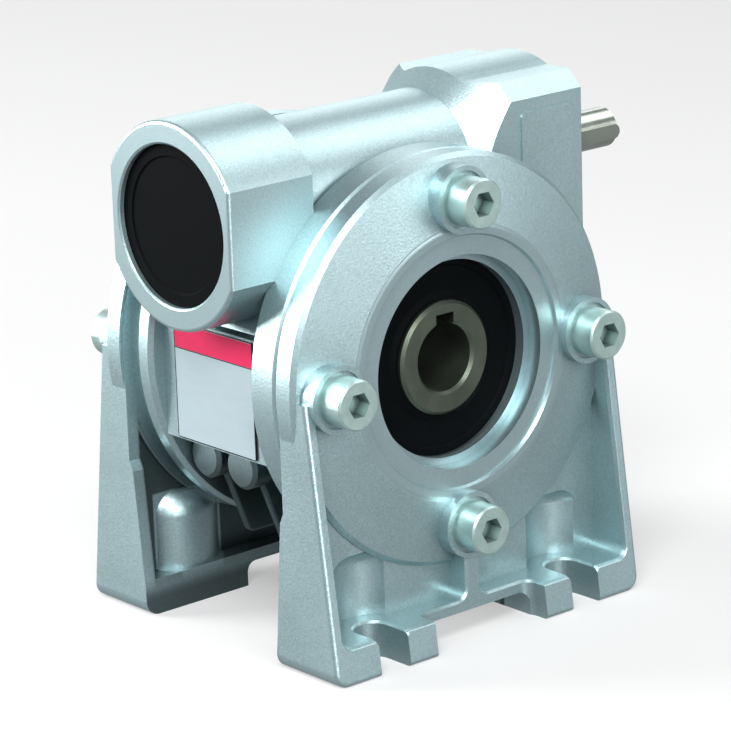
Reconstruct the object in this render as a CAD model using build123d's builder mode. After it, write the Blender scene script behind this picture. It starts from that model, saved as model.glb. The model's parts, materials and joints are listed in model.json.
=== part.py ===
# Worm gearbox with a hollow output shaft, a solid keyed input shaft and two bolted foot covers.
# Millimetres. X runs along the input (worm) axis towards the keyed shaft end, Y along the
# output axis, Z up. The origin is the middle of the output bore.
import os
from math import acos, atan, cos, pi, radians, sin, sqrt, tan

from build123d import *

os.makedirs("parts", exist_ok=True)

# Gear pair
centre_distance = 40.0
module = 2.0
wheel_teeth = 30
pressure_angle = radians(20)
flank_backlash = 0.09
worm_length = 38.0
wheel_width = 18.0
worm_thread_run_out = 2.0
shaft_end_chamfer = 1.4
throat_clearance = 0.2
thread_overrun = 0.6
wheel_edge_radius = 33.0

# Output side
bore_radius = 9.0
bore_chamfer = 0.8
output_key_width = 6.0
output_key_depth = 2.8
shaft_radius = 15.0
shaft_half_length = 35.0
shaft_chamfer = 0.8
hub_radius = 24.0
hub_shoulder_radius = 19.0
seal_radius = 26.0
seal_width = 7.0
seal_setback = 1.6
seal_wall = 1.8
seal_dish = 0.6
seal_border = 2.4
seal_lip_width = 2.4
output_bearing_radius = 27.5
output_bearing_width = 13.0
output_ball_radius = 3.57
output_ball_count = 11

# Housing
parting = 31.6
housing_radius = 47.0
front_flange_radius = 54.0
front_flange_width = 10.4
rear_ring_radius = 53.5
rear_ring_inner = 19.5
rear_ring_width = 6.0
rear_neck_radius = 50.0
flange_edge = 1.2
cavity_radius = 36.0
barrel_radius = 21.8
boss_radius = 27.0
boss_flat = 24.0
boss_face = 60.0
boss_length = 27.0
block_length = 25.0
block_chamfer = 4.5
block_cone_place = 23.4
block_cone_slope = 0.8
hump_radius = 26.5
boss_edge_radius = 1.0
bore_edge = 0.5
plaque_margin = 3.2
plaque_height = 0.4
plaque_corner = 1.6
pad_height = 2.0
pad_border = 0.5
fin_width = 2.4
fin_places = (10.7, -4.1)
fin_foot = 50.0
fin_foot_half_length = 31.0
fin_corner = 2.5
fin_edge_radius = 0.8
fin_boss_radius = 6.0
fin_boss_place = 2.6
fin_boss_drop = 6.4
fin_boss_depth = 6.0
fin_boss_edge = 1.0

# Covers with their feet
cover_radius = 54.0
cover_rim = 6.2
cone_height = 2.8
parting_gap_width = 0.4
parting_gap_depth = 0.9
land_radius = 33.0
land_face = 40.6
lip_height = 0.9
lip_width = 2.2
register_radius = 28.0
register_depth = 4.3
cover_hub_radius = 32.0
cover_hub_overhang = 0.8
spigot_depth = 5.0
spigot_shoulder = 1.2
spigot_clearance = 0.03
ring_seal_width = 2.4
ring_seal_depth = 2.0
screw_circle_radius = 43.0
screw_boss_radius = 8.8
screw_boss_face = 43.6
spot_face_radius = 7.5
spot_face_depth = 0.8
base_height = 72.4
foot_half_width = 53.0
foot_front = 50.8
foot_back = 27.0
wall_thickness = 3.5
wall_front_top = 41.5
wall_jog_height = 30.0
wall_jog_drop = 2.7
wall_jog = 1.3
wall_edge_radius = 1.2
web_front = 36.8
web_thickness = 3.3
web_edge_radius = 45.0
pad_thickness = 9.6
pad_inner = 19.2
foot_edge = 0.6
middle_thickness = 3.1
relief_margin = 0.5
middle_front = 43.3
rib_width = 5.0
slot_place = 33.5
slot_width = 9.8
slot_end = 36.9
pocket_radius = 10.0
pocket_height = 18.6
pocket_dome_radius = 4.6
foot_corner = 4.0
recess_corner = 3.0
flange_clearance = 0.5

# Screws, M8 with hexagon socket heads
screw_radius = 4.0
screw_hole_radius = 4.5
screw_head_radius = 6.5
screw_head_height = 8.0
screw_head_chamfer = 0.5
screw_length = 20.0
hexagon_flats = 6.0
hexagon_depth = 4.0
tapped_floor = 0.6

# Input side
journal_radius = 7.5
worm_bearing_radius = 21.0
worm_bearing_width = 13.0
worm_bearing_place = 45.0
worm_ball_radius = 3.97
worm_ball_count = 7
worm_shoulder_radius = 9.5
worm_shoulder_length = 8.5
worm_neck_radius = 7.3
input_shaft_radius = 5.5
input_shaft_end = 92.8
input_key_width = 4.0
input_key_height = 4.0
input_key_depth = 2.5
input_key_length = 28.0
input_key_end = 1.8
input_seal_width = 6.4
cap_setback = 1.7
cap_wall = 2.4
cap_dish = 0.4
cap_rim = 3.2
circlip_width = 1.1
circlip_depth = 1.0
circlip_height = 2.6
circlip_opening = 5.0

# Nameplate
plate_width = 31.8
plate_bottom = -20.2
plate_top = 11.0
plate_centre = -1.6
plate_thickness = 0.5
plate_corner = 0.6

# Fits and bearing details
running_clearance = 0.04
assembly_clearance = 0.1
groove_clearance = 0.15
cage_clearance = 0.12
cage_half_height = 1.0
cage_side = 0.9
race_height = 0.45
ring_chamfer = 0.8

# Sizes that follow
axial_pitch = pi * module
wheel_pitch_radius = wheel_teeth * module / 2
worm_pitch_radius = centre_distance - wheel_pitch_radius
lead_angle = atan(module / (2 * worm_pitch_radius))
worm_tip_radius = worm_pitch_radius + module
worm_root_radius = worm_pitch_radius - 1.2 * module
worm_bore_radius = worm_tip_radius + 1.5
wheel_root_radius = wheel_pitch_radius - 1.25 * module
throat_radius = worm_pitch_radius - module + throat_clearance
seal_outer_face = shaft_half_length - seal_setback
bearing_outer_face = seal_outer_face - seal_width - assembly_clearance
bearing_inner_face = bearing_outer_face - output_bearing_width
cover_hub_end = bearing_inner_face - cover_hub_overhang
worm_bearing_outer = worm_bearing_place + worm_bearing_width / 2
worm_bearing_inner = worm_bearing_place - worm_bearing_width / 2
circlip_outer = worm_bearing_outer + circlip_width
base_top = pad_thickness - base_height
tapped_depth = front_flange_width - tapped_floor
screw_seat = screw_boss_face - spot_face_depth
slot_centre = slot_end + slot_width / 2
spigot_end = parting - spigot_depth
groove_front = parting - spigot_shoulder
groove_back = groove_front - ring_seal_width
groove_radius = cavity_radius - ring_seal_depth
spigot_radius = cavity_radius - spigot_clearance
cone_foot = parting + cover_rim
cone_top = cone_foot + cone_height + lip_height
block_left = boss_face - block_length
cone_far_radius = barrel_radius + block_cone_slope * (boss_face - block_cone_place)
pad_plane = housing_radius + pad_height
pad_bottom = plate_bottom - pad_border
pad_top = plate_top + pad_border
fin_top_reach = sqrt(housing_radius**2 - pad_bottom**2)
front_flange_back = front_flange_width - parting
front_slope = (foot_front - wall_front_top) / base_height

# Section planes: the first number runs along the axis, the second is the radius
output_section = Plane.YZ
input_section = Plane(origin=(0, 0, centre_distance), x_dir=(1, 0, 0), z_dir=(0, -1, 0))
input_face = Plane(origin=(0, 0, centre_distance), x_dir=(0, 1, 0), z_dir=(1, 0, 0))


def finish(piece, name):
    """Label a finished piece and write its file."""
    piece.label = name
    export_step(piece, f"parts/{name}.step")


def turned(section, outline):
    """A closed outline of (along the axis, radius) points turned about the section's x axis."""
    with BuildPart() as piece:
        with BuildSketch(section):
            with BuildLine():
                Polyline(*outline, close=True)
            make_face()
        revolve(axis=Axis(section.origin, section.x_dir))
    return piece.part


def moved(section, distance):
    """The same section plane, moved along its axis."""
    centre = section.origin + section.x_dir * distance
    return Plane(origin=centre, x_dir=section.x_dir, z_dir=section.z_dir)


def bearing_ring(section, seat_radius, race_radius, width, ball_circle, ball_radius):
    """One bearing ring: the outline between its seat and its race, less the ball groove."""
    half = width / 2
    inward = ring_chamfer if race_radius > seat_radius else -ring_chamfer
    with BuildPart() as ring:
        with BuildSketch(section):
            with BuildLine():
                Polyline(
                    (-half, race_radius),
                    (-half, seat_radius + inward),
                    (ring_chamfer - half, seat_radius),
                    (half - ring_chamfer, seat_radius),
                    (half, seat_radius + inward),
                    (half, race_radius),
                    close=True,
                )
            make_face()
            with Locations((0, ball_circle)):
                Circle(ball_radius + groove_clearance, mode=Mode.SUBTRACT)
        revolve(axis=Axis(section.origin, section.x_dir))
    return ring.part


def ball_set(section, ball_circle, ball_radius, count):
    """The balls of one bearing, evenly spaced on their circle."""
    with BuildPart(Plane(origin=section.origin, x_dir=(0, 0, 1), z_dir=section.x_dir)) as balls:
        with PolarLocations(ball_circle, count):
            Sphere(ball_radius)
    return balls.part


def ball_cage(section, ball_circle, ball_radius, count):
    """A cage ring with one round window for each ball."""
    width = 2 * (ball_radius + cage_clearance + cage_side)
    with BuildPart(Plane(origin=section.origin, x_dir=(0, 0, 1), z_dir=section.x_dir)) as cage:
        Cylinder(ball_circle + cage_half_height, width)
        Cylinder(ball_circle - cage_half_height, width, mode=Mode.SUBTRACT)
        with PolarLocations(ball_circle, count):
            Cylinder(
                ball_radius + cage_clearance,
                4 * cage_half_height,
                rotation=(0, 90, 0),
                mode=Mode.SUBTRACT,
            )
    return cage.part


def write_bearing(name, section, bore, outside, width, ball_radius, count):
    """The four pieces of a deep groove ball bearing."""
    ball_circle = (bore + outside) / 2
    inner_race = ball_circle - ball_radius * race_height
    outer_race = ball_circle + ball_radius * race_height
    inner = bearing_ring(section, bore, inner_race, width, ball_circle, ball_radius)
    outer = bearing_ring(section, outside, outer_race, width, ball_circle, ball_radius)
    finish(inner, f"{name}_bearing_inner_ring")
    finish(outer, f"{name}_bearing_outer_ring")
    finish(ball_set(section, ball_circle, ball_radius, count), f"{name}_bearing_balls")
    finish(ball_cage(section, ball_circle, ball_radius, count), f"{name}_bearing_cage")


# Block around the drive side bearing, with the hump along its top, cut by a cone about the worm
with BuildPart() as block:
    with Locations(((boss_face + block_cone_place) / 2, 0, centre_distance)):
        Box(boss_face - block_cone_place, 2 * boss_flat, 2 * boss_flat)
    chamfer(block.edges().filter_by(Axis.X).group_by(Axis.Z)[-1], block_chamfer)
    with BuildSketch(input_face.offset(boss_face)):
        Circle(hump_radius)
        with Locations((0, boss_flat)):
            Rectangle(boss_flat, boss_flat, mode=Mode.INTERSECT)
    extrude(amount=block_cone_place - boss_face)
    with BuildSketch(input_section):
        with BuildLine():
            Polyline(
                (block_cone_place, 0),
                (block_cone_place, barrel_radius),
                (boss_face, cone_far_radius),
                (boss_face, 0),
                close=True,
            )
        make_face()
    revolve(axis=Axis(input_section.origin, input_section.x_dir), mode=Mode.INTERSECT)

# Round boss with two flats around the cap side bearing
with BuildPart() as round_boss:
    with BuildSketch(input_face.offset(-boss_face)):
        Circle(boss_radius)
        Rectangle(2 * boss_flat, 2 * boss_radius, mode=Mode.INTERSECT)
    extrude(amount=boss_length)
    fillet(round_boss.edges().group_by(Axis.X)[0], boss_edge_radius)

# One fin across the underside, from pad to pad
with BuildPart() as fin:
    with BuildSketch(Plane.XZ) as fin_outline:
        with BuildLine():
            Polyline(
                (-fin_top_reach, pad_bottom),
                (-fin_foot_half_length, -fin_foot),
                (fin_foot_half_length, -fin_foot),
                (fin_top_reach, pad_bottom),
                close=True,
            )
        make_face()
        fillet(fin_outline.vertices().group_by(Axis.Y)[0], fin_corner)
    extrude(amount=fin_width / 2, both=True)
    fillet(fin.faces().sort_by(Axis.Y)[0].edges().sort_by(Axis.Z)[:-1], fin_edge_radius)
    fillet(fin.faces().sort_by(Axis.Y)[-1].edges().sort_by(Axis.Z)[:-1], fin_edge_radius)

# Round casting boss beside a fin
with BuildPart() as fin_boss:
    with BuildSketch(Plane.YZ.offset(-fin_top_reach)):
        with Locations((fin_boss_place, pad_bottom - fin_boss_drop)):
            Circle(fin_boss_radius)
    extrude(amount=fin_boss_depth)
    chamfer(fin_boss.edges().group_by(Axis.X)[0], fin_boss_edge)

# Housing
with BuildPart() as housing:
    # Drum with the front flange and the rear ring
    with BuildSketch(output_section):
        with BuildLine():
            Polyline(
                (-parting, 0),
                (-parting, front_flange_radius - flange_edge),
                (flange_edge - parting, front_flange_radius),
                (front_flange_back - flange_edge, front_flange_radius),
                (front_flange_back, front_flange_radius - flange_edge),
                (front_flange_back, housing_radius),
                (rear_ring_inner, housing_radius),
                (rear_ring_inner, rear_ring_radius - flange_edge),
                (rear_ring_inner + flange_edge, rear_ring_radius),
                (rear_ring_inner + rear_ring_width - flange_edge, rear_ring_radius),
                (rear_ring_inner + rear_ring_width, rear_ring_radius - flange_edge),
                (rear_ring_inner + rear_ring_width, rear_neck_radius),
                (parting, rear_neck_radius),
                (parting, 0),
                close=True,
            )
        make_face()
    revolve(axis=Axis.Y)
    # Barrel around the worm, round boss and block
    with BuildSketch(input_face.offset(boss_length - boss_face)):
        Circle(barrel_radius)
    extrude(amount=boss_face - boss_length + block_left)
    add(round_boss.part)
    add(block.part)
    # Raised plaque on each side of the block
    for side in (-1, 1):
        with BuildSketch(Plane.XZ.offset(side * boss_flat)):
            with Locations(((boss_face + block_left) / 2, centre_distance)):
                RectangleRounded(
                    block_length - 2 * plaque_margin, 2 * boss_flat - 5 * plaque_margin, plaque_corner
                )
        extrude(amount=side * plaque_height)
    # Flat pad for the nameplate
    with BuildSketch(Plane.YZ.offset(-pad_plane)):
        with Locations((front_flange_back, (pad_bottom + pad_top) / 2)):
            Rectangle(
                rear_ring_inner - front_flange_back,
                pad_top - pad_bottom,
                align=(Align.MIN, Align.CENTER),
            )
    extrude(amount=pad_plane - cavity_radius)
    # Fins and round casting bosses below it
    for place in fin_places:
        add(fin.part.moved(Location((0, place, 0))))
        add(fin_boss.part.moved(Location((0, place, 0))))
    # Wheel chamber and worm bore
    with BuildSketch(Plane.XZ):
        Circle(cavity_radius)
    extrude(amount=parting, both=True, mode=Mode.SUBTRACT)
    with BuildSketch(input_face):
        Circle(worm_bore_radius)
    extrude(amount=boss_face, both=True, mode=Mode.SUBTRACT)
    for side in (-1, 1):
        with BuildSketch(input_face.offset(side * worm_bearing_inner)):
            Circle(worm_bearing_radius)
        extrude(amount=side * boss_face, mode=Mode.SUBTRACT)
        bore_rims = housing.edges(Select.LAST).filter_by(GeomType.CIRCLE).sort_by(Axis.X)
        chamfer(bore_rims[-1 if side > 0 else 0], bore_edge)
        with BuildSketch(input_face.offset(side * worm_bearing_outer)):
            Circle(worm_bearing_radius + circlip_depth)
        extrude(amount=side * circlip_width, mode=Mode.SUBTRACT)
    # Tapped holes in both flanges
    for side in (-1, 1):
        with BuildSketch(Plane.XZ.offset(side * parting)):
            with PolarLocations(screw_circle_radius, 4):
                Circle(screw_radius)
        extrude(amount=-side * tapped_depth, mode=Mode.SUBTRACT)
finish(housing.part, "housing")


def pocket_shape(side, radius, height, dome_radius):
    """Two upright round forms over the slots, with rounded tops."""
    with BuildPart() as forms:
        for hand in (-1, 1):
            with Locations((hand * slot_place, side * slot_centre, base_top)):
                Cylinder(radius, height, align=(Align.CENTER, Align.CENTER, Align.MIN))
        fillet(forms.edges().group_by(Axis.Z)[-1], dome_radius)
    return forms.part


def pocket_backs(side):
    """The backs of the pockets, which stand out behind the web."""
    with BuildPart() as backs:
        add(
            pocket_shape(
                side,
                pocket_radius + web_thickness,
                pocket_height + web_thickness,
                pocket_dome_radius + web_thickness,
            )
        )
        with BuildSketch(Plane.XZ.offset(-side * web_front)):
            Rectangle(2 * foot_half_width, 2 * base_height)
        extrude(amount=side * base_height, mode=Mode.INTERSECT)
    return backs.part


def is_recess_rim(edge):
    """Whether an edge lies on the sloping front of a foot, round one of the two recesses."""
    centre = edge.center()
    behind_front = wall_front_top - front_slope * centre.Z - abs(centre.Y)
    inside_walls = abs(centre.X) < foot_half_width - wall_thickness + foot_edge
    beside_rib = abs(centre.X) > (rib_width - foot_edge) / 2
    return inside_walls and beside_rib and behind_front < foot_edge


def is_middle_rim(edge):
    """Whether an edge lies on the set-back front in the middle of a foot, round a recess."""
    centre = edge.center()
    on_front = abs(abs(centre.Y) - middle_front) < foot_edge / 2
    return on_front and abs(centre.X) > (rib_width - foot_edge) / 2 and centre.Z > base_top - foot_edge


def is_slot_rim(edge):
    """Whether an edge goes round the top of a slot, along the top of a foot's pads."""
    return abs(edge.center().Z - base_top) < foot_edge / 2


def foot_cover(side):
    """A bearing cover and its foot in one casting; side is -1 in front and 1 behind."""
    out = Plane.XZ if side < 0 else Plane(origin=(0, 0, 0), x_dir=(-1, 0, 0), z_dir=(0, 1, 0))
    recess_width = foot_half_width - wall_thickness - rib_width / 2
    with BuildPart() as cover:
        # Front view of the foot, cut to its side view
        with BuildSketch(out.offset(foot_back)) as front_view:
            Rectangle(2 * foot_half_width, base_height, align=(Align.CENTER, Align.MAX))
            fillet(front_view.vertices().group_by(Axis.Y)[0], foot_corner)
        extrude(amount=foot_front - foot_back)
        with BuildSketch(output_section):
            with BuildLine():
                Polyline(
                    (side * parting, 0),
                    (side * parting, -wall_jog_height),
                    (side * (parting - wall_jog), -wall_jog_height - wall_jog_drop),
                    (side * foot_back, foot_corner - base_height),
                    (side * foot_back, -base_height),
                    (side * foot_front, -base_height),
                    (side * wall_front_top, 0),
                    close=True,
                )
            make_face()
        extrude(amount=foot_half_width, both=True, mode=Mode.INTERSECT)
        front_corners = cover.edges().filter_by(lambda edge: side * edge.center().Y > wall_front_top)
        fillet([edge for edge in front_corners if abs(edge.center().X) > pad_inner], wall_edge_radius)
        # Recess behind the web, with the backs of the two pockets in it
        with BuildSketch(Plane.XY.offset(base_top)):
            with Locations((0, side * (web_front - web_thickness))):
                Rectangle(
                    2 * (foot_half_width - wall_thickness),
                    foot_back,
                    align=(Align.CENTER, Align.MIN if side < 0 else Align.MAX),
                )
        extrude(amount=base_height, mode=Mode.SUBTRACT)
        add(pocket_backs(side))
        # Room for the disc, and clearance around the housing flange
        with BuildSketch(out):
            Circle(web_edge_radius)
        extrude(amount=foot_front, mode=Mode.SUBTRACT)
        with BuildSketch(out):
            Circle(front_flange_radius + flange_clearance)
        extrude(amount=parting, mode=Mode.SUBTRACT)
        # Recess in front of the web, left and right of the middle rib
        with BuildSketch(out.offset(web_front)) as recesses:
            for hand in (-1, 1):
                with Locations((hand * (rib_width + recess_width) / 2, base_top)):
                    Rectangle(recess_width, 2 * base_height, align=(Align.CENTER, Align.MIN))
            fillet(recesses.vertices().group_by(Axis.Y)[0], recess_corner)
        extrude(amount=foot_front, mode=Mode.SUBTRACT)
        chamfer([edge for edge in cover.edges(Select.LAST) if is_recess_rim(edge)], foot_edge)
        # Pockets above the slots
        add(pocket_shape(side, pocket_radius, pocket_height, pocket_dome_radius), mode=Mode.SUBTRACT)
        # Middle of the base: thin underneath, and set back in front
        with BuildSketch(out) as relief:
            with Locations((0, -base_height)):
                Rectangle(
                    2 * (pad_inner - relief_margin),
                    pad_thickness - middle_thickness,
                    align=(Align.CENTER, Align.MIN),
                )
            fillet(relief.vertices().group_by(Axis.Y)[-1], recess_corner)
        extrude(amount=2 * foot_front, mode=Mode.SUBTRACT)
        with BuildSketch(Plane.XY.offset(-base_height)) as set_back:
            with Locations((0, side * middle_front)):
                Rectangle(
                    2 * pad_inner,
                    foot_front,
                    align=(Align.CENTER, Align.MAX if side < 0 else Align.MIN),
                )
            inner_corners = set_back.vertices().sort_by_distance((0, 0))[:2]
            fillet(inner_corners, recess_corner)
        extrude(amount=base_height, mode=Mode.SUBTRACT)
        chamfer([edge for edge in cover.edges(Select.LAST) if is_middle_rim(edge)], foot_edge)
        # Open slots for the foot bolts
        with BuildSketch(Plane.XY.offset(-base_height)):
            for hand in (-1, 1):
                with Locations((hand * slot_place, side * slot_centre)):
                    Circle(slot_width / 2)
                    Rectangle(
                        slot_width,
                        foot_front,
                        align=(Align.CENTER, Align.MAX if side < 0 else Align.MIN),
                    )
        extrude(amount=pad_thickness, mode=Mode.SUBTRACT)
        chamfer([edge for edge in cover.edges(Select.LAST) if is_slot_rim(edge)], foot_edge)
        # Turned disc: hub around the bearing, seal bore, register, land, cone and rim
        with BuildSketch(output_section):
            with BuildLine():
                Polyline(
                    (side * cover_hub_end, output_bearing_radius),
                    (side * bearing_outer_face, output_bearing_radius),
                    (side * bearing_outer_face, seal_radius),
                    (side * (land_face - register_depth), seal_radius),
                    (side * (land_face - register_depth), register_radius),
                    (side * land_face, register_radius),
                    (side * land_face, land_radius),
                    (side * cone_top, land_radius + lip_height / 2),
                    (side * cone_top, land_radius + lip_width),
                    (side * (cone_foot + flange_edge / 2), cover_radius - flange_edge),
                    (side * (cone_foot - flange_edge / 2), cover_radius),
                    (side * (parting + parting_gap_width), cover_radius),
                    (side * (parting + parting_gap_width), cover_radius - parting_gap_depth),
                    (side * parting, cover_radius - parting_gap_depth),
                    (side * parting, spigot_radius),
                    (side * groove_front, spigot_radius),
                    (side * groove_front, groove_radius),
                    (side * groove_back, groove_radius),
                    (side * groove_back, spigot_radius),
                    (side * spigot_end, spigot_radius),
                    (side * spigot_end, cover_hub_radius),
                    (side * cover_hub_end, cover_hub_radius),
                    close=True,
                )
            make_face()
        revolve(axis=Axis.Y)
        # Bosses, spot faces and through holes for the cover screws
        with BuildSketch(out.offset(parting + cover_rim / 2)):
            with PolarLocations(screw_circle_radius, 4):
                Circle(screw_boss_radius)
        extrude(amount=screw_boss_face - parting - cover_rim / 2)
        with BuildSketch(out.offset(screw_seat)):
            with PolarLocations(screw_circle_radius, 4):
                Circle(spot_face_radius)
        extrude(amount=foot_front, mode=Mode.SUBTRACT)
        with BuildSketch(out.offset(parting)):
            with PolarLocations(screw_circle_radius, 4):
                Circle(screw_hole_radius)
        extrude(amount=foot_front, mode=Mode.SUBTRACT)
    return cover.part


def cover_screws(side):
    """Four hexagon socket head screws in their holes."""
    out = Plane.XZ if side < 0 else Plane(origin=(0, 0, 0), x_dir=(-1, 0, 0), z_dir=(0, 1, 0))
    with BuildPart() as screws:
        with BuildSketch(out.offset(screw_seat)):
            with PolarLocations(screw_circle_radius, 4):
                Circle(screw_radius)
        extrude(amount=-screw_length)
        with BuildSketch(out.offset(screw_seat)):
            with PolarLocations(screw_circle_radius, 4):
                Circle(screw_head_radius)
        extrude(amount=screw_head_height)
        head_rims = screws.edges().filter_by(GeomType.CIRCLE).group_by(Axis.Y)[0 if side < 0 else -1]
        chamfer(head_rims, screw_head_chamfer)
        with BuildSketch(out.offset(screw_seat + screw_head_height)):
            with PolarLocations(screw_circle_radius, 4, rotate=False):
                RegularPolygon(hexagon_flats / 2, 6, major_radius=False)
        extrude(amount=-hexagon_depth, mode=Mode.SUBTRACT)
    return screws.part


def cover_ring_seal(side):
    """Rubber ring in the groove of a cover's spigot."""
    return turned(
        output_section,
        [
            (side * groove_front, groove_radius),
            (side * groove_front, cavity_radius),
            (side * groove_back, cavity_radius),
            (side * groove_back, groove_radius),
        ],
    )


def lip_seal(section, inside_face, outside_face, lip_radius, outer_radius):
    """Shaft seal: an outer sleeve, a flat face with a shallow dish and a lip round the shaft."""
    outward = 1 if outside_face > inside_face else -1
    wall = outward * seal_wall
    dish = outward * seal_dish
    lip = lip_radius + running_clearance
    return turned(
        section,
        [
            (inside_face, outer_radius),
            (outside_face, outer_radius),
            (outside_face, outer_radius - seal_wall),
            (outside_face - dish, outer_radius - seal_border),
            (outside_face - dish, lip + seal_border),
            (outside_face, lip + seal_wall / 2),
            (outside_face, lip),
            (inside_face + wall, lip),
            (inside_face + wall, lip + seal_wall),
            (outside_face - wall, lip + seal_lip_width),
            (outside_face - wall, outer_radius - seal_wall),
            (inside_face, outer_radius - seal_wall),
        ],
    )


for side, place in ((-1, "front"), (1, "rear")):
    finish(foot_cover(side), f"{place}_foot_cover")
    finish(cover_screws(side), f"{place}_cover_screws")
    finish(cover_ring_seal(side), f"{place}_cover_ring_seal")
    shaft_seal = lip_seal(
        output_section,
        side * (seal_outer_face - seal_width),
        side * seal_outer_face,
        shaft_radius,
        seal_radius,
    )
    finish(shaft_seal, f"{place}_shaft_seal")
    write_bearing(
        place,
        moved(output_section, side * (bearing_outer_face + bearing_inner_face) / 2),
        shaft_radius,
        output_bearing_radius,
        output_bearing_width,
        output_ball_radius,
        output_ball_count,
    )

# Hollow output shaft with the hub that carries the worm wheel
with BuildPart() as hollow_shaft:
    with BuildSketch(output_section):
        with BuildLine():
            Polyline(
                (-shaft_half_length, bore_radius + bore_chamfer),
                (-shaft_half_length, shaft_radius - shaft_chamfer),
                (shaft_chamfer - shaft_half_length, shaft_radius),
                (-bearing_inner_face, shaft_radius),
                (-bearing_inner_face, hub_shoulder_radius),
                (-wheel_width / 2, hub_shoulder_radius),
                (-wheel_width / 2, hub_radius),
                (wheel_width / 2, hub_radius),
                (wheel_width / 2, hub_shoulder_radius),
                (bearing_inner_face, hub_shoulder_radius),
                (bearing_inner_face, shaft_radius),
                (shaft_half_length - shaft_chamfer, shaft_radius),
                (shaft_half_length, shaft_radius - shaft_chamfer),
                (shaft_half_length, bore_radius + bore_chamfer),
                (shaft_half_length - bore_chamfer, bore_radius),
                (bore_chamfer - shaft_half_length, bore_radius),
                close=True,
            )
        make_face()
    revolve(axis=Axis.Y)
    with BuildSketch(Plane.XZ):
        Rectangle(
            output_key_width,
            bore_radius + output_key_depth,
            align=(Align.CENTER, Align.MIN),
        )
    extrude(amount=shaft_half_length, both=True, mode=Mode.SUBTRACT)
finish(hollow_shaft.part, "hollow_output_shaft")


def half_gap_angle(radius):
    """Half the angle between two flanks of an involute wheel, at a radius."""
    base_radius = wheel_pitch_radius * cos(pressure_angle)
    at_radius = acos(min(1, base_radius / radius))
    involute_here = tan(at_radius) - at_radius
    involute_pitch = tan(pressure_angle) - pressure_angle
    return pi / (2 * wheel_teeth) + involute_here - involute_pitch + flank_backlash / wheel_pitch_radius


def flank_point(radius, hand):
    """A point of a tooth gap's flank, with the gap's middle on the plane's y axis."""
    angle = half_gap_angle(radius)
    return (hand * radius * sin(angle), radius * cos(angle))


# Worm wheel: bronze rim with a throat and helical gaps across the worm's thread
gap_plane = Plane(
    origin=(0, 0, 0),
    x_dir=(cos(lead_angle), -sin(lead_angle), 0),
    z_dir=(-sin(lead_angle), -cos(lead_angle), 0),
)
gap_top_radius = wheel_edge_radius + thread_overrun
gap_radii = [wheel_root_radius, (wheel_root_radius + wheel_pitch_radius) / 2, wheel_pitch_radius]
gap_radii += [(wheel_pitch_radius + gap_top_radius) / 2, gap_top_radius]
with BuildPart() as tooth_gap:
    with BuildSketch(gap_plane):
        with BuildLine():
            right = Spline(*[flank_point(radius, 1) for radius in gap_radii])
            left = Spline(*[flank_point(radius, -1) for radius in gap_radii])
            Line(right @ 0, left @ 0)
            Line(right @ 1, left @ 1)
        make_face()
    extrude(amount=wheel_width, both=True)
with BuildPart() as worm_wheel:
    with BuildSketch(output_section):
        with Locations((0, (hub_radius + wheel_edge_radius) / 2)):
            Rectangle(wheel_width, wheel_edge_radius - hub_radius)
        with Locations((0, centre_distance)):
            Circle(throat_radius, mode=Mode.SUBTRACT)
    revolve(axis=Axis.Y)
    add(
        [tooth_gap.part.rotate(Axis.Y, 360 * tooth / wheel_teeth) for tooth in range(wheel_teeth)],
        mode=Mode.SUBTRACT,
    )
finish(worm_wheel.part, "worm_wheel")

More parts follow.
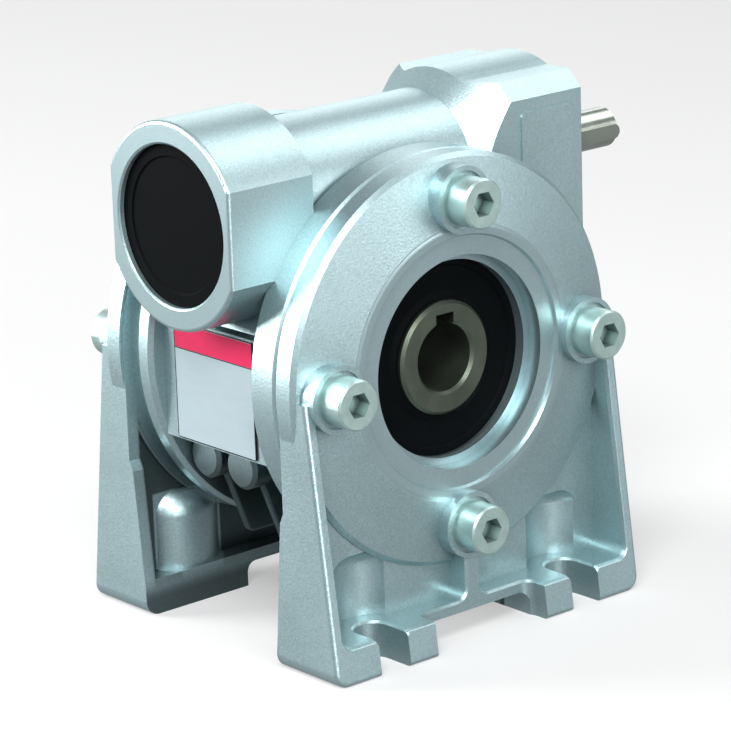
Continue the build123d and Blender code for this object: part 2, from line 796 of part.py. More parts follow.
# Worm shaft: turned blank, milled thread, key seat
thread_turns = round(worm_length / axial_pitch / 2) + 0.5
thread_reach = thread_turns * axial_pitch
thread_plane = Plane(
    origin=(-thread_reach, 0, centre_distance), x_dir=(0, 0, -1), z_dir=(1, 0, 0)
)
thread_path = thread_plane.location * Helix(axial_pitch, 2 * thread_reach, worm_pitch_radius)
gap_depth = worm_pitch_radius - worm_root_radius
gap_rise = module + thread_overrun
half_gap = axial_pitch / 4 + flank_backlash / 2
with BuildPart() as worm_shaft:
    with BuildSketch(input_section):
        with BuildLine():
            Polyline(
                (-circlip_outer - circlip_width, 0),
                (-circlip_outer - circlip_width, journal_radius),
                (-circlip_outer, journal_radius),
                (-circlip_outer, journal_radius - circlip_depth),
                (-worm_bearing_outer, journal_radius - circlip_depth),
                (-worm_bearing_outer, journal_radius),
                (-worm_bearing_inner, journal_radius),
                (-worm_bearing_inner, worm_shoulder_radius),
                (worm_shoulder_length - worm_bearing_inner, worm_shoulder_radius),
                (worm_shoulder_length - worm_bearing_inner, worm_neck_radius),
                (-worm_length / 2 - worm_thread_run_out, worm_neck_radius),
                (-worm_length / 2, worm_tip_radius),
                (worm_length / 2, worm_tip_radius),
                (worm_length / 2 + worm_thread_run_out, worm_neck_radius),
                (worm_bearing_inner - worm_shoulder_length, worm_neck_radius),
                (worm_bearing_inner - worm_shoulder_length, worm_shoulder_radius),
                (worm_bearing_inner, worm_shoulder_radius),
                (worm_bearing_inner, journal_radius),
                (boss_face, journal_radius),
                (boss_face, input_shaft_radius),
                (input_shaft_end - shaft_end_chamfer, input_shaft_radius),
                (input_shaft_end, input_shaft_radius - shaft_end_chamfer),
                (input_shaft_end, 0),
                close=True,
            )
        make_face()
    revolve(axis=Axis(input_section.origin, input_section.x_dir))
    gap_section = Plane(
        origin=(-thread_reach, 0, wheel_pitch_radius), x_dir=(1, 0, 0), z_dir=(0, 1, 0)
    )
    with BuildSketch(gap_section):
        with BuildLine():
            Polyline(
                (-half_gap + gap_depth * tan(pressure_angle), -gap_depth),
                (half_gap - gap_depth * tan(pressure_angle), -gap_depth),
                (half_gap + gap_rise * tan(pressure_angle), gap_rise),
                (-half_gap - gap_rise * tan(pressure_angle), gap_rise),
                close=True,
            )
        make_face()
    sweep(path=thread_path, is_frenet=True, mode=Mode.SUBTRACT)
    key_seat_end = input_shaft_end - input_key_end
    with BuildSketch(Plane.XZ.offset(input_shaft_radius - input_key_depth)):
        with Locations((key_seat_end - input_key_length / 2, centre_distance)):
            SlotOverall(input_key_length, input_key_width)
    extrude(amount=input_shaft_radius, mode=Mode.SUBTRACT)
finish(worm_shaft.part, "worm_shaft")

with BuildPart() as input_key:
    with BuildSketch(Plane.XZ.offset(input_shaft_radius - input_key_depth)):
        with Locations((key_seat_end - input_key_length / 2, centre_distance)):
            SlotOverall(input_key_length, input_key_width)
    extrude(amount=input_key_height)
finish(input_key.part, "input_key")

# Worm bearings, end cap and input seal
for side, place in ((-1, "cap_side"), (1, "drive_side")):
    write_bearing(
        place,
        moved(input_section, side * worm_bearing_place),
        journal_radius,
        worm_bearing_radius,
        worm_bearing_width,
        worm_ball_radius,
        worm_ball_count,
    )


def snap_ring(section, near, seat_radius, free_radius):
    """A flat ring in its groove, open on one side."""
    far = near + circlip_width
    if near < 0:
        far = near - circlip_width
    with BuildPart() as ring:
        with BuildSketch(section):
            with BuildLine():
                Polyline(
                    (near, seat_radius),
                    (far, seat_radius),
                    (far, free_radius),
                    (near, free_radius),
                    close=True,
                )
            make_face()
        revolve(axis=Axis(section.origin, section.x_dir))
        with BuildSketch(input_face.offset(near)):
            Rectangle(circlip_opening, 2 * boss_radius, align=(Align.CENTER, Align.MIN))
        extrude(amount=2 * (far - near), mode=Mode.SUBTRACT)
    return ring.part


for side, place in ((-1, "cap_side"), (1, "drive_side")):
    bore_ring = snap_ring(
        input_section,
        side * worm_bearing_outer,
        worm_bearing_radius + circlip_depth,
        worm_bearing_radius + circlip_depth - circlip_height,
    )
    finish(bore_ring, f"{place}_bore_circlip")
shaft_ring = snap_ring(
    input_section,
    -worm_bearing_outer,
    journal_radius - circlip_depth,
    journal_radius - circlip_depth + circlip_height,
)
finish(shaft_ring, "worm_shaft_circlip")

input_seal = lip_seal(
    input_section,
    boss_face - assembly_clearance - input_seal_width,
    boss_face - assembly_clearance,
    journal_radius,
    worm_bearing_radius,
)
finish(input_seal, "input_seal")

cap_face = cap_setback - boss_face
cap_rim_end = -circlip_outer - assembly_clearance
worm_end_cap = turned(
    input_section,
    [
        (cap_face, worm_bearing_radius),
        (cap_face, worm_bearing_radius - cap_rim),
        (cap_face + cap_dish, worm_bearing_radius - cap_rim - cap_dish),
        (cap_face + cap_dish, 0),
        (cap_face + cap_dish + cap_wall, 0),
        (cap_face + cap_dish + cap_wall, worm_bearing_radius - cap_rim),
        (cap_rim_end, worm_bearing_radius - cap_rim),
        (cap_rim_end, worm_bearing_radius),
    ],
)
finish(worm_end_cap, "worm_end_cap")

# Nameplate on its pad
with BuildPart() as nameplate:
    with BuildSketch(Plane.YZ.offset(-pad_plane)):
        with Locations((plate_centre, (plate_bottom + plate_top) / 2)):
            RectangleRounded(plate_width, plate_top - plate_bottom, plate_corner)
    extrude(amount=-plate_thickness)
finish(nameplate.part, "nameplate")
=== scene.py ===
"""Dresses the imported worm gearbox: finishes for its pieces, floor, lights and camera.

All lengths are metres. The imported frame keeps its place, size and shape: every piece of
the gearbox is a CAD node with a procedural finish on Object coordinates.
"""
import json
from math import cos, pi, radians, sin

import bpy
from mathutils import Matrix, Vector


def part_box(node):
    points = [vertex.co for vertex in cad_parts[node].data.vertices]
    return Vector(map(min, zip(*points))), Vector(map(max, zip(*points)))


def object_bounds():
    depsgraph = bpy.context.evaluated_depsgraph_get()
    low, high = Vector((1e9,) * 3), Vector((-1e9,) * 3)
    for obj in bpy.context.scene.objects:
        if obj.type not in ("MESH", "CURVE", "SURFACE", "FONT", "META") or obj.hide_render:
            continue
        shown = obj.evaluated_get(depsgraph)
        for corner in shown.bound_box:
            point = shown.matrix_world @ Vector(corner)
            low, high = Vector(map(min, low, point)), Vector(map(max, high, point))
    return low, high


bl_info = {
    "name": "Worm Gearbox Dressing",
    "version": (1, 0, 0),
    "blender": (4, 5, 0),
    "location": "View3D > Sidebar > Gearbox",
    "description": "Finishes, floor, lights and camera for a worm gearbox",
    "category": "Object",
}

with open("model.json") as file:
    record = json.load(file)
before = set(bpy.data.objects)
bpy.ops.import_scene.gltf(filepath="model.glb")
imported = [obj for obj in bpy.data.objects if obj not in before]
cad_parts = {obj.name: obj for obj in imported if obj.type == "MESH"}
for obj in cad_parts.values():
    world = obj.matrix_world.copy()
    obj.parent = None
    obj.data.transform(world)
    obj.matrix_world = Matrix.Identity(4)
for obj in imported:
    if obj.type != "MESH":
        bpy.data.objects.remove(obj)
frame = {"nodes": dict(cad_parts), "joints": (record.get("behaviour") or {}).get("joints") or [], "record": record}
frame_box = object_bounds()

slots = {part["node"]: part["material_slot"] for part in frame["record"]["subparts"]}
worm_joint = next(joint for joint in frame["joints"] if joint["name"] == "worm_turn")
centre_distance = worm_joint["pos_m"][2]


# Shader building

# Places of the colour sockets in a Mix node, whose names repeat for each data type.
MIX_FIRST, MIX_SECOND, MIX_RESULT = 6, 7, 2

# Rays that each look at a hollow sends out.
HOLLOW_SAMPLES = 8


class Value:
    """A socket of a material that can stand in arithmetic: operators add Math nodes."""

    def __init__(self, sheet, socket):
        self.sheet = sheet
        self.socket = socket

    def __add__(self, other):
        return self.sheet.math("ADD", self, other)

    def __radd__(self, other):
        return self + other

    def __sub__(self, other):
        return self.sheet.math("SUBTRACT", self, other)

    def __rsub__(self, other):
        return self.sheet.math("SUBTRACT", other, self)

    def __mul__(self, other):
        return self.sheet.math("MULTIPLY", self, other)

    def __rmul__(self, other):
        return self * other

    def __pow__(self, other):
        return self.sheet.math("POWER", self, other)

    def __abs__(self):
        return self.sheet.math("ABSOLUTE", self)

    def sine(self):
        return self.sheet.math("SINE", self)

    def least(self, other):
        return self.sheet.math("MINIMUM", self, other)

    def most(self, other):
        return self.sheet.math("MAXIMUM", self, other)

    def above(self, edge, softness):
        """0 below the edge and 1 above it, with a soft step."""
        step = {"interpolation_type": "SMOOTHSTEP"}
        low, high = edge - softness, edge + softness
        links = {"Value": self, "From Min": low, "From Max": high}
        return self.sheet.node("ShaderNodeMapRange", step, links)["Result"]

    def below(self, edge, softness):
        """1 below the edge and 0 above it, with a soft step."""
        return 1 - self.above(edge, softness)


class Outputs:
    """The outputs of a node, by name or place."""

    def __init__(self, sheet, node):
        self.sheet = sheet
        self.node = node

    def __getitem__(self, key):
        return Value(self.sheet, self.node.outputs[key])


class Sheet:
    """The node sheet of one material."""

    def __init__(self, name):
        self.material = bpy.data.materials.new(name)
        self.material.use_nodes = True
        self.tree = self.material.node_tree
        self.tree.nodes.clear()
        self.place = self.node("ShaderNodeTexCoord")["Object"]
        axes = self.node("ShaderNodeSeparateXYZ", links={"Vector": self.place})
        self.x = axes["X"]
        self.y = axes["Y"]
        self.z = axes["Z"]

    def node(self, kind, settings=None, links=None):
        """Add a node: settings first, then the values or links of its inputs."""
        made = self.tree.nodes.new(kind)
        for key, setting in (settings or {}).items():
            setattr(made, key, setting)
        for key, value in (links or {}).items():
            self._feed(made.inputs[key], value)
        return Outputs(self, made)

    def _feed(self, socket, value):
        if isinstance(value, Value):
            self.tree.links.new(value.socket, socket)
        elif socket.type == "RGBA":
            socket.default_value = (*value, 1)
        else:
            socket.default_value = value

    def math(self, operation, *terms):
        """One step of arithmetic on values and plain numbers."""
        links = dict(enumerate(terms))
        return self.node("ShaderNodeMath", {"operation": operation}, links)["Value"]

    def noise(self, size, detail, rough=0.55, stretch=None):
        """Noise with features of about the given size, between 0 and 1."""
        place = self.place
        if stretch:
            links = {"Vector": place, "Scale": stretch}
            place = self.node("ShaderNodeMapping", links=links)["Vector"]
        links = {"Vector": place, "Scale": 1 / size}
        links.update({"Detail": detail, "Roughness": rough})
        return self.node("ShaderNodeTexNoise", links=links)["Fac"]

    def cells(self, size):
        """Distance to the nearest of many scattered points, in cell widths."""
        links = {"Vector": self.place, "Scale": 1 / size}
        return self.node("ShaderNodeTexVoronoi", links=links)["Distance"]

    def blend(self, share, first, second):
        """Mix two colours by a share."""
        links = {"Factor": share, MIX_FIRST: first, MIX_SECOND: second}
        return self.node("ShaderNodeMix", {"data_type": "RGBA"}, links)[MIX_RESULT]

    def hollow(self, reach):
        """How deep a spot lies in its own piece's hollows: 0 in the open, 1 shut in."""
        local = {"only_local": True, "samples": HOLLOW_SAMPLES}
        open_share = self.node("ShaderNodeAmbientOcclusion", local, {"Distance": reach})
        return 1 - open_share["AO"]

    def around_output(self):
        """Distance from the output axis."""
        return (self.x * self.x + self.z * self.z) ** 0.5

    def around_input(self):
        """Distance from the worm axis."""
        height = self.z - centre_distance
        return (self.y * self.y + height * height) ** 0.5

    def finish(self, colour, rough, metal, height, depth, specular=0.5):
        """The surface shader with its bump, which closes the sheet."""
        bump = {"Height": height, "Distance": depth}
        links = {
            "Base Color": colour,
            "Roughness": rough,
            "Metallic": metal,
            "Specular IOR Level": specular,
            "Normal": self.node("ShaderNodeBump", links=bump)["Normal"],
        }
        return self.close(self.node("ShaderNodeBsdfPrincipled", links=links)["BSDF"])

    def close(self, surface):
        """Put a shader on the surface and give the material."""
        self.node("ShaderNodeOutputMaterial", links={"Surface": surface})
        return self.material


def shade(share, colour):
    """A colour darkened to a share of itself."""
    return tuple(share * part for part in colour)


def varied(level, *patterns):
    """A level that each pattern of 0 to 1 moves up and down, by its width in all."""
    for pattern, width in patterns:
        level = level + (pattern - 0.5) * width
    return level


def dress_node(node, material):
    """Give a CAD node its finish."""
    mesh = frame["nodes"][node].data
    mesh.materials.clear()
    mesh.materials.append(material)


# Where the castings change finish, and where painted shade darkens their colour

# Turned land and register of a cover: within this radius, beyond this distance from the
# middle plane.
LAND_RADIUS = 0.0362
LAND_PLANE = 0.0355

# Inner side of a foot, by its distance from the middle plane: its edge lies nearer
# than the first plane, its web beyond the second, and all of it nearer than the third.
FOOT_EDGE_PLANE = 0.0273
FOOT_WEB_PLANE = 0.0328
FOOT_INNER_PLANE = 0.0345
FOOT_HALF_LENGTH = 0.0499
# Share of painted shade on the edge, the web and the bulges of the inner side of a foot.
EDGE_PAINTED_SHADE = 0.8
WEB_PAINTED_SHADE = 0.8
BULGE_PAINTED_SHADE = 0.4

# Round niches in the front of a foot, which the painted shade of its inner side leaves out.
NICHE_X = 0.0335
NICHE_Y = 0.0368
NICHE_RADIUS = 0.0116
NICHE_TOP = -0.0418

# Height below which the inner side of a foot gets painted shade.
FOOT_SHADE_TOP = -0.022

# Milled faces of the worm bosses: beyond this distance from the output axis.
BOSS_FACE = 0.0599

# Underside of the drum between its flanges, which gets painted shade.
DRUM_HALF_WIDTH = 0.019
DRUM_SHADE_TOP = -0.026
DRUM_PAINTED_SHADE = 0.78


def cover_machining(sheet):
    """Turned land and register of a foot cover."""
    outside = abs(sheet.y).above(LAND_PLANE, 0.0002)
    return sheet.around_output().below(LAND_RADIUS, 0.0002) * outside


def cover_painted_shade(sheet):
    """Painted shade on the inner side of a foot cover: its edge and web get more than its bulges."""
    depth = abs(sheet.y)
    length = abs(sheet.x).below(FOOT_HALF_LENGTH, 0.0003)
    inner = depth.below(FOOT_INNER_PLANE, 0.0004) * length
    edge = depth.below(FOOT_EDGE_PLANE, 0.0003)
    web = depth.above(FOOT_WEB_PLANE, 0.0003)
    off_niche = abs(sheet.x) - NICHE_X
    behind_web = depth - NICHE_Y
    reach = (off_niche * off_niche + behind_web * behind_web) ** 0.5
    niche = reach.below(NICHE_RADIUS, 0.0003) * sheet.z.below(NICHE_TOP, 0.0004)
    inner = inner * (web * (WEB_PAINTED_SHADE - BULGE_PAINTED_SHADE) + BULGE_PAINTED_SHADE) * (1 - niche)
    return inner.most(edge * EDGE_PAINTED_SHADE) * sheet.z.below(FOOT_SHADE_TOP, 0.01)


def housing_machining(sheet):
    """Milled faces of the worm bosses at both ends."""
    return abs(sheet.x).above(BOSS_FACE, 0.00005)


def housing_painted_shade(sheet):
    """Painted shade on the underside of the drum between its flanges, with its fins and bosses."""
    between = abs(sheet.y).below(DRUM_HALF_WIDTH, 0.001)
    return between * sheet.z.below(DRUM_SHADE_TOP, 0.006) * DRUM_PAINTED_SHADE


# Finishes

# Dark and light tones of the metals that stay as they are.
ZINC = (0.42, 0.58, 0.55), (0.60, 0.78, 0.74)
DULL_STEEL = (0.07, 0.085, 0.065), (0.14, 0.165, 0.13)
GROUND_STEEL = (0.30, 0.33, 0.29), (0.48, 0.52, 0.47)
CAGE_STEEL = (0.30, 0.29, 0.25), (0.45, 0.44, 0.40)
BRONZE = (0.55, 0.36, 0.16), (0.78, 0.56, 0.28)
BEARING_STEEL = (0.72, 0.73, 0.74)
PRINTED_LINE = (0.01, 0.012, 0.014)

# Distance between two rings that a turning tool leaves.
CASTING_FEED = 0.0006
SHAFT_FEED = 0.0004

# Band of the nameplate, width of the lines printed on the plate, and how soft they end.
BAND_LOW = 0.0042
BAND_HIGH = 0.0106
BAND_BLUR = 0.00008
LINE_WIDTH = 0.0003
LINE_BLUR = 0.00006


def cast_metal(name, tones, machined, turned_about, painted_shade_zone):
    """Blasted die casting with fine grain and a cloudy tone.

    It is smoother and ringed where machined says. Its colour is darkened as painted shade
    in its own hollows and in the zone of painted shade that its last argument gives.
    """
    sheet = Sheet(name)
    dark, light = tones
    cloud = sheet.noise(0.03, 4)
    speck = sheet.noise(0.0006, 3, 0.7)
    grain = sheet.noise(0.0005, 2, 0.7)
    pit = sheet.cells(0.0008)
    mask = machined(sheet)
    colour = sheet.blend((speck - 0.5) * 1.9 + 0.3 + cloud * 0.4, dark, light)
    colour = sheet.blend(mask * 0.5, colour, light)
    # Painted shade: the colour goes dark in the piece's own hollows and in the given zone, where shade falls.
    painted_shade = varied(sheet.hollow(0.03) * 0.5 + painted_shade_zone(sheet), (cloud, 0.1))
    colour = sheet.blend(painted_shade.least(0.88).most(0.0), colour, shade(0.1, dark))
    cast_rough = varied(0.38, (grain, 0.2), (cloud, 0.1))
    rough = cast_rough * (1 - mask) + mask * varied(0.3, (speck, 0.08))
    rings = (turned_about(sheet) * (2 * pi / CASTING_FEED)).sine() * 0.06
    height = (grain * 0.7 + pit * 0.3) * (1 - mask) + rings * mask
    return sheet.finish(colour, rough, metal=0.9, height=height, depth=0.00006)


def rubber(name, tint):
    """Matt black rubber with a fine grain."""
    sheet = Sheet(name)
    cloud = sheet.noise(0.006, 4)
    grain = sheet.noise(0.0004, 2)
    colour = sheet.blend(cloud, shade(0.6, tint), tint)
    rough = varied(0.6, (cloud, 0.16))
    bump = {"height": grain, "depth": 0.00003}
    return sheet.finish(colour, rough, metal=0.0, specular=0.03, **bump)


def output_way(sheet):
    """Distance from the output axis plus the way along it."""
    return sheet.around_output() + sheet.y


def input_way(sheet):
    """Distance from the worm axis plus the way along it."""
    return sheet.around_input() + sheet.x


def turned_steel(name, tones, rough_level, way):
    """Turned steel with faint stains, and painted shade that darkens its hollows.

    Fine rings follow one another along its way, which steps over end faces and round
    faces alike.
    """
    sheet = Sheet(name)
    dark, light = tones
    cloud = sheet.noise(0.008, 4)
    grain = sheet.noise(0.0006, 2)
    rings = (way(sheet) * (2 * pi / SHAFT_FEED)).sine() * 0.5 + 0.5
    # Painted shade: the colour goes dark in the piece's own hollows.
    hollow_shade = sheet.hollow(0.012).above(0.45, 0.3) * 0.85
    colour = sheet.blend(hollow_shade, sheet.blend(cloud, dark, light), shade(0.1, dark))
    rough = varied(rough_level, (cloud, 0.18), (grain, 0.1))
    height = rings * 0.6 + grain * 0.4
    return sheet.finish(colour, rough, metal=0.9, height=height, depth=0.00001)


def plated_steel(name, tones):
    """Zinc plating, cloudy, with painted shade that darkens its hollows."""
    sheet = Sheet(name)
    dark, light = tones
    cloud = sheet.noise(0.003, 4)
    grain = sheet.noise(0.0005, 3)
    # Painted shade: the colour goes dark in the piece's own hollows.
    hollow_shade = (sheet.hollow(0.004) * 1.4).least(0.9)
    colour = sheet.blend(hollow_shade, sheet.blend(cloud, dark, light), shade(0.15, dark))
    rough = varied(0.36, (cloud, 0.2), (grain, 0.1))
    return sheet.finish(colour, rough, metal=0.85, height=grain, depth=0.00002)


def polished_steel(name, tone):
    """Bright rolled and polished steel."""
    sheet = Sheet(name)
    cloud = sheet.noise(0.01, 3)
    colour = sheet.blend(cloud, shade(0.9, tone), tone)
    rough = 0.12 + cloud * 0.1
    return sheet.finish(colour, rough, metal=1.0, height=cloud, depth=0.000005)


def bronze(name, tones):
    """Cut bronze with faint clouds."""
    sheet = Sheet(name)
    cloud = sheet.noise(0.012, 4)
    grain = sheet.noise(0.0005, 2)
    colour = sheet.blend(cloud, *tones)
    rough = varied(0.35, (cloud, 0.2))
    return sheet.finish(colour, rough, metal=0.95, height=grain, depth=0.00003)


def plate(name, silver, red):
    """Bare silver plate with a red band across its top and thin printed lines."""
    sheet = Sheet(name)
    low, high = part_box("nameplate")
    band = sheet.z.above(BAND_LOW, BAND_BLUR) * sheet.z.below(BAND_HIGH, BAND_BLUR)
    under_band = sheet.z.above(BAND_LOW - LINE_WIDTH, BAND_BLUR)
    under_band = under_band * sheet.z.below(BAND_LOW, BAND_BLUR)
    far_side = sheet.y.above(high[1] - LINE_WIDTH, LINE_BLUR)
    near_side = sheet.y.below(low[1] + LINE_WIDTH, LINE_BLUR)
    top = sheet.z.above(high[2] - LINE_WIDTH, LINE_BLUR)
    foot = sheet.z.below(low[2] + LINE_WIDTH, LINE_BLUR)
    printed = under_band.most(far_side).most(near_side).most(top).most(foot)
    cloud = sheet.noise(0.006, 4)
    brushed = sheet.noise(0.0008, 3, 0.6, (1.0, 0.08, 1.0))
    base = sheet.blend(cloud * 0.5 + brushed * 0.5, shade(0.86, silver), silver)
    ink = sheet.blend(cloud, shade(0.85, red), red)
    colour = sheet.blend(printed, sheet.blend(band, base, ink), PRINTED_LINE)
    rough = varied(0.32 + band * 0.2, (brushed, 0.15))
    metal = (1 - band) * 0.35
    bump = {"height": brushed, "depth": 0.00001}
    return sheet.finish(colour, rough, metal, specular=0.25, **bump)


class GearboxSettings(bpy.types.PropertyGroup):
    """Colours and lighting of the gearbox."""

    cast_dark: bpy.props.FloatVectorProperty(
        name="Casting, dark",
        description="Dark tone of the blasted casting",
        subtype="COLOR",
        default=(0.34, 0.475, 0.49),
    )
    cast_light: bpy.props.FloatVectorProperty(
        name="Casting, light",
        description="Light tone of the blasted casting",
        subtype="COLOR",
        default=(0.52, 0.68, 0.71),
    )
    rubber_tint: bpy.props.FloatVectorProperty(
        name="Rubber",
        description="Colour of the seals and the cap",
        subtype="COLOR",
        default=(0.002, 0.003, 0.0035),
    )
    band_red: bpy.props.FloatVectorProperty(
        name="Plate band",
        description="Colour of the band on the nameplate",
        subtype="COLOR",
        default=(0.64, 0.012, 0.085),
    )
    plate_silver: bpy.props.FloatVectorProperty(
        name="Plate",
        description="Colour of the bare nameplate",
        subtype="COLOR",
        default=(0.44, 0.54, 0.58),
    )
    floor_colour: bpy.props.FloatVectorProperty(
        name="Floor",
        description="Colour of the floor as it lights the gearbox",
        subtype="COLOR",
        default=(0.12, 0.125, 0.13),
    )
    key_power: bpy.props.FloatProperty(
        name="Key light",
        description="Power of the lamp above on the left, which draws the highlights",
        default=19.0,
        min=0.0,
        subtype="POWER",
    )
    left_power: bpy.props.FloatProperty(
        name="Left light",
        description="Power of the wide lamp on the left behind",
        default=34.0,
        min=0.0,
        subtype="POWER",
    )
    side_power: bpy.props.FloatProperty(
        name="Side light",
        description="Power of the wide lamp in front of the output bore",
        default=15.0,
        min=0.0,
        subtype="POWER",
    )
    front_power: bpy.props.FloatProperty(
        name="Front light",
        description="Power of the wide lamp in front on the right",
        default=4.5,
        min=0.0,
        subtype="POWER",
    )
    back_power: bpy.props.FloatProperty(
        name="Back light",
        description="Power of the wide lamp behind",
        default=2.5,
        min=0.0,
        subtype="POWER",
    )
    top_power: bpy.props.FloatProperty(
        name="Top light",
        description="Power of the wide lamp above on the right",
        default=5.0,
        min=0.0,
        subtype="POWER",
    )


def settings():
    return bpy.context.scene.gearbox


class DressCastings(bpy.types.Operator):
    """Cast housing and the two foot covers"""

    bl_idname = "gearbox.castings"
    bl_label = "Castings"

    def execute(self, context):
        tones = tuple(settings().cast_dark), tuple(settings().cast_light)
        housing = cast_metal(
            "cast_housing",
            tones,
            machined=housing_machining,
            turned_about=Sheet.around_input,
            painted_shade_zone=housing_painted_shade,
        )
        covers = cast_metal(
            "cast_covers",
            tones,
            machined=cover_machining,
            turned_about=Sheet.around_output,
            painted_shade_zone=cover_painted_shade,
        )
        dress_node("housing", housing)
        dress_node("front_foot_cover", covers)
        dress_node("rear_foot_cover", covers)
        return {"FINISHED"}


class DressSeals(bpy.types.Operator):
    """Rubber seals, ring seals and the end cap"""

    bl_idname = "gearbox.seals"
    bl_label = "Seals"

    def execute(self, context):
        black = rubber("black_rubber", tuple(settings().rubber_tint))
        for node, slot in slots.items():
            if slot == "black_rubber":
                dress_node(node, black)
        return {"FINISHED"}


class DressScrews(bpy.types.Operator):
    """Zinc plated cover screws"""

    bl_idname = "gearbox.screws"
    bl_label = "Screws"

    def execute(self, context):
        zinc = plated_steel("zinc", ZINC)
        dress_node("front_cover_screws", zinc)
        dress_node("rear_cover_screws", zinc)
        return {"FINISHED"}


class DressShafts(bpy.types.Operator):
    """Hollow output shaft, worm shaft and its key"""

    bl_idname = "gearbox.shafts"
    bl_label = "Shafts"

    def execute(self, context):
        dull = turned_steel("dull_steel", DULL_STEEL, 0.42, output_way)
        ground = turned_steel("ground_steel", GROUND_STEEL, 0.2, input_way)
        dress_node("hollow_output_shaft", dull)
        dress_node("worm_shaft", ground)
        dress_node("input_key", ground)
        return {"FINISHED"}


class DressInside(bpy.types.Operator):
    """Bearings, retaining rings and the worm wheel"""

    bl_idname = "gearbox.inside"
    bl_label = "Bearings and wheel"

    def execute(self, context):
        bright = polished_steel("bearing_steel", BEARING_STEEL)
        cage = turned_steel("cage_steel", CAGE_STEEL, 0.4, output_way)
        for node, slot in slots.items():
            if slot == "bearing_steel":
                dress_node(node, bright)
            elif slot == "dark_steel" and node != "hollow_output_shaft":
                dress_node(node, cage)
        dress_node("worm_wheel", bronze("wheel_bronze", BRONZE))
        return {"FINISHED"}


class DressPlate(bpy.types.Operator):
    """Bare nameplate with a red band"""

    bl_idname = "gearbox.plate"
    bl_label = "Nameplate"

    def execute(self, context):
        silver = tuple(settings().plate_silver)
        red = tuple(settings().band_red)
        dress_node("nameplate", plate("plate", silver, red))
        return {"FINISHED"}


# Camera of the photograph, fitted to the edges and ellipses of the gearbox.
CAMERA_PLACE = Vector((-0.594277, -0.702343, 0.258947))
CAMERA_TURN = radians(40.36)
CAMERA_DOWN = radians(16.24)
CAMERA_ROLL = radians(1.97)
FOCAL_PIXELS = 3632.96
IMAGE_PIXELS = 731
SENSOR_MM = 36.0

# Place and width of each round lamp; its power is in the settings.
LAMPS = {
    "key": ((-0.7, -0.6, 1.0), 0.7),
    "left": ((-0.85, 1.0, 0.42), 0.8),
    "side": ((-0.3, -1.25, 0.3), 0.7),
    "front": ((0.7, -1.1, 0.45), 0.8),
    "back": ((0.8, 1.0, 0.5), 0.8),
    "top": ((0.85, -0.1, 1.05), 0.9),
}

# World light on the gearbox, and as glossy surfaces mirror it.
WORLD_TINT = (0.90, 0.95, 1.0)
WORLD_STRENGTH = 0.1
MIRRORED_STRENGTH = 0.3

# Floor as the camera sees it: its paper, and the share of plain white over it there and
# in mirrored views.
FLOOR_HALF = 6.0
SEEN_PAPER = (0.6, 0.6, 0.6)
SEEN_WHITE = 0.4
MIRRORED_WHITE = 0.2


def aim_matrix(place, forward, roll):
    """Matrix at a place that looks along forward, turned about that line by roll."""
    level = Vector((forward.y, -forward.x, 0)).normalized()
    down = forward.cross(level)
    right = level * cos(roll) + down * sin(roll)
    lower = down * cos(roll) - level * sin(roll)
    turn = Matrix((right, -lower, -forward)).transposed()
    return Matrix.Translation(place) @ turn.to_4x4()


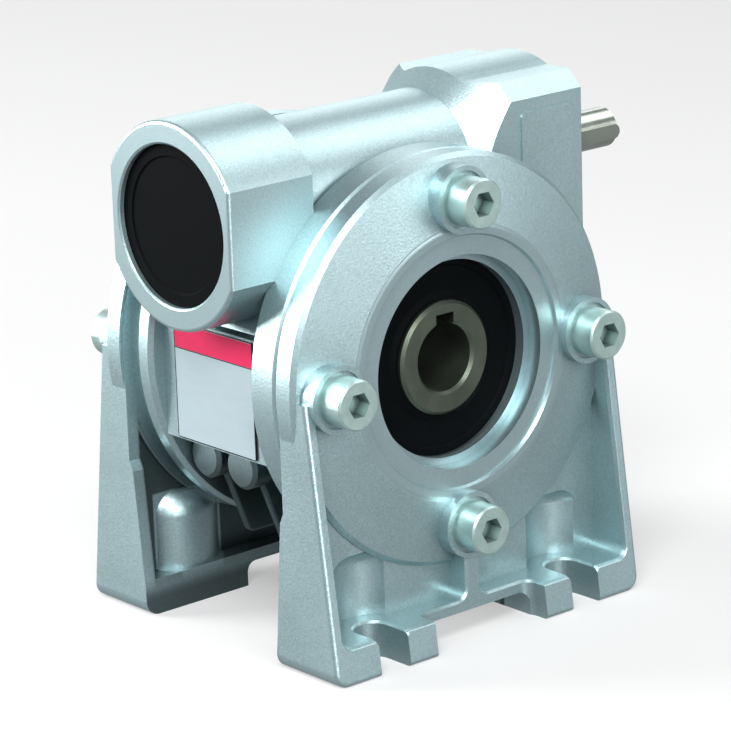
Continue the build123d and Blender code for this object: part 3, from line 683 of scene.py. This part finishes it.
class SetStage(bpy.types.Operator):
    """Floor, lights, world and camera"""

    bl_idname = "gearbox.stage"
    bl_label = "Stage"

    def execute(self, context):
        self.floor(context.scene)
        self.world(context.scene)
        for name, (place, width) in LAMPS.items():
            power = getattr(settings(), f"{name}_power")
            self.lamp(context.scene, name, Vector(place), width, power)
        self.camera(context.scene)
        context.scene.view_settings.view_transform = "Standard"
        return {"FINISHED"}

    def floor(self, scene):
        """Square floor under the gearbox, close to white for the camera alone."""
        level = frame_box[0][2]
        signs = ((-1, -1), (1, -1), (1, 1), (-1, 1))
        corners = [(FLOOR_HALF * x, FLOOR_HALF * y, level) for x, y in signs]
        mesh = bpy.data.meshes.new("floor")
        mesh.from_pydata(corners, [], [(0, 1, 2, 3)])
        mesh.materials.append(self.floor_paper())
        floor = bpy.data.objects.new("floor", mesh)
        scene.collection.objects.link(floor)

    def floor_paper(self):
        """Matt paper with a share of plain white light where the camera looks."""
        sheet = Sheet("floor_paper")
        tone = tuple(settings().floor_colour)
        path = sheet.node("ShaderNodeLightPath")
        paper = sheet.blend(sheet.noise(0.4, 2), tone, shade(0.985, tone))
        paper = sheet.blend(path["Is Camera Ray"], paper, SEEN_PAPER)
        matt = sheet.node("ShaderNodeBsdfDiffuse", links={"Color": paper})["BSDF"]
        glow = {"Color": (1, 1, 1), "Strength": 1.0}
        white = sheet.node("ShaderNodeEmission", links=glow)["Emission"]
        mirrored = path["Is Glossy Ray"].most(path["Is Transmission Ray"])
        share = (path["Is Camera Ray"] * SEEN_WHITE).most(mirrored * MIRRORED_WHITE)
        layers = {0: share, 1: matt, 2: white}
        return sheet.close(sheet.node("ShaderNodeMixShader", links=layers)["Shader"])

    def world(self, scene):
        """Low even light, stronger where glossy surfaces mirror it."""
        world = bpy.data.worlds.new("studio")
        world.use_nodes = True
        tree = world.node_tree
        background = tree.nodes["Background"]
        background.inputs["Color"].default_value = (*WORLD_TINT, 1)
        path = tree.nodes.new("ShaderNodeLightPath")
        strength = tree.nodes.new("ShaderNodeMapRange")
        strength.inputs["To Min"].default_value = WORLD_STRENGTH
        strength.inputs["To Max"].default_value = MIRRORED_STRENGTH
        tree.links.new(path.outputs["Is Glossy Ray"], strength.inputs["Value"])
        tree.links.new(strength.outputs["Result"], background.inputs["Strength"])
        scene.world = world

    def lamp(self, scene, name, place, width, power):
        """A round lamp that faces the gearbox."""
        light = bpy.data.lights.new(name, "AREA")
        light.shape = "DISK"
        light.size = width
        light.energy = power
        lamp = bpy.data.objects.new(name, light)
        lamp.matrix_world = aim_matrix(place, -place.normalized(), 0.0)
        scene.collection.objects.link(lamp)

    def camera(self, scene):
        """Camera at the photograph's viewing angle."""
        lens = bpy.data.cameras.new("camera")
        lens.sensor_width = SENSOR_MM
        lens.lens = SENSOR_MM * FOCAL_PIXELS / IMAGE_PIXELS
        lens.clip_start = 0.01
        level = cos(CAMERA_DOWN)
        ahead = sin(CAMERA_TURN) * level, cos(CAMERA_TURN) * level, -sin(CAMERA_DOWN)
        camera = bpy.data.objects.new("camera", lens)
        camera.matrix_world = aim_matrix(CAMERA_PLACE, Vector(ahead), CAMERA_ROLL)
        scene.collection.objects.link(camera)
        scene.camera = camera


class GearboxPanel(bpy.types.Panel):
    """Sidebar panel with every step"""

    bl_idname = "VIEW3D_PT_gearbox"
    bl_label = "Gearbox"
    bl_space_type = "VIEW_3D"
    bl_region_type = "UI"
    bl_category = "Gearbox"

    def draw(self, context):
        for name in GearboxSettings.__annotations__:
            self.layout.prop(context.scene.gearbox, name)
        for step in STEPS:
            self.layout.operator(step.bl_idname)


STEPS = (
    DressCastings,
    DressSeals,
    DressScrews,
    DressShafts,
    DressInside,
    DressPlate,
    SetStage,
)
CLASSES = (GearboxSettings, *STEPS, GearboxPanel)


def register():
    for item in CLASSES:
        bpy.utils.register_class(item)
    bpy.types.Scene.gearbox = bpy.props.PointerProperty(type=GearboxSettings)


def unregister():
    del bpy.types.Scene.gearbox
    for item in reversed(CLASSES):
        bpy.utils.unregister_class(item)


def main():
    register()
    bpy.ops.gearbox.castings()
    bpy.ops.gearbox.seals()
    bpy.ops.gearbox.screws()
    bpy.ops.gearbox.shafts()
    bpy.ops.gearbox.inside()
    bpy.ops.gearbox.plate()
    bpy.ops.gearbox.stage()


if __name__ == "__main__":
    main()
